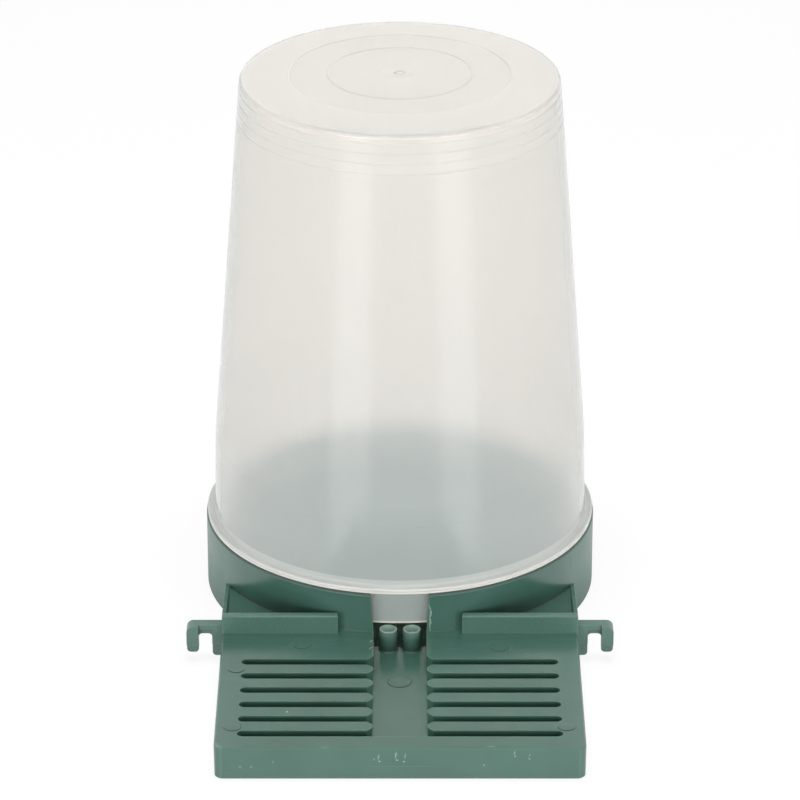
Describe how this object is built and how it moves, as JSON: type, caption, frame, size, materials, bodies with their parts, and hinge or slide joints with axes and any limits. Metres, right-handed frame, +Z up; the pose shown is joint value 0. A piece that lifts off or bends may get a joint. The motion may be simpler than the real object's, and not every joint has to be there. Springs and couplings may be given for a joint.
{
  "type": "entrance feeder",
  "caption": "Beehive entrance feeder: an upturned translucent syrup jar in a round collar, with a grooved drinking tongue for the hive entrance and side hooks.",
  "frame": {"origin": "under the middle of the whole feeder, on the plane that it stands on", "axes": "+Z up along the jar's axis, -Y towards the hive along the drinking tongue, +X to the right of someone facing the tongue's front edge"},
  "size_m": [0.1504, 0.2224, 0.1961],
  "materials": {
    "green_moulding": "satin moulded polypropylene, dark bluish green",
    "natural_polypropylene": "satin translucent natural polypropylene, milky"
  },
  "bodies": {
    "base": {"feeder_base": "green_moulding"},
    "jar": {"syrup_jar": "natural_polypropylene"}
  },
  "joints": [
    {"name": "jar_lift", "type": "slide", "parent": "base", "child": "jar", "axis": [0, 0, 1], "range_m": [0, 0.06]}
  ]
}
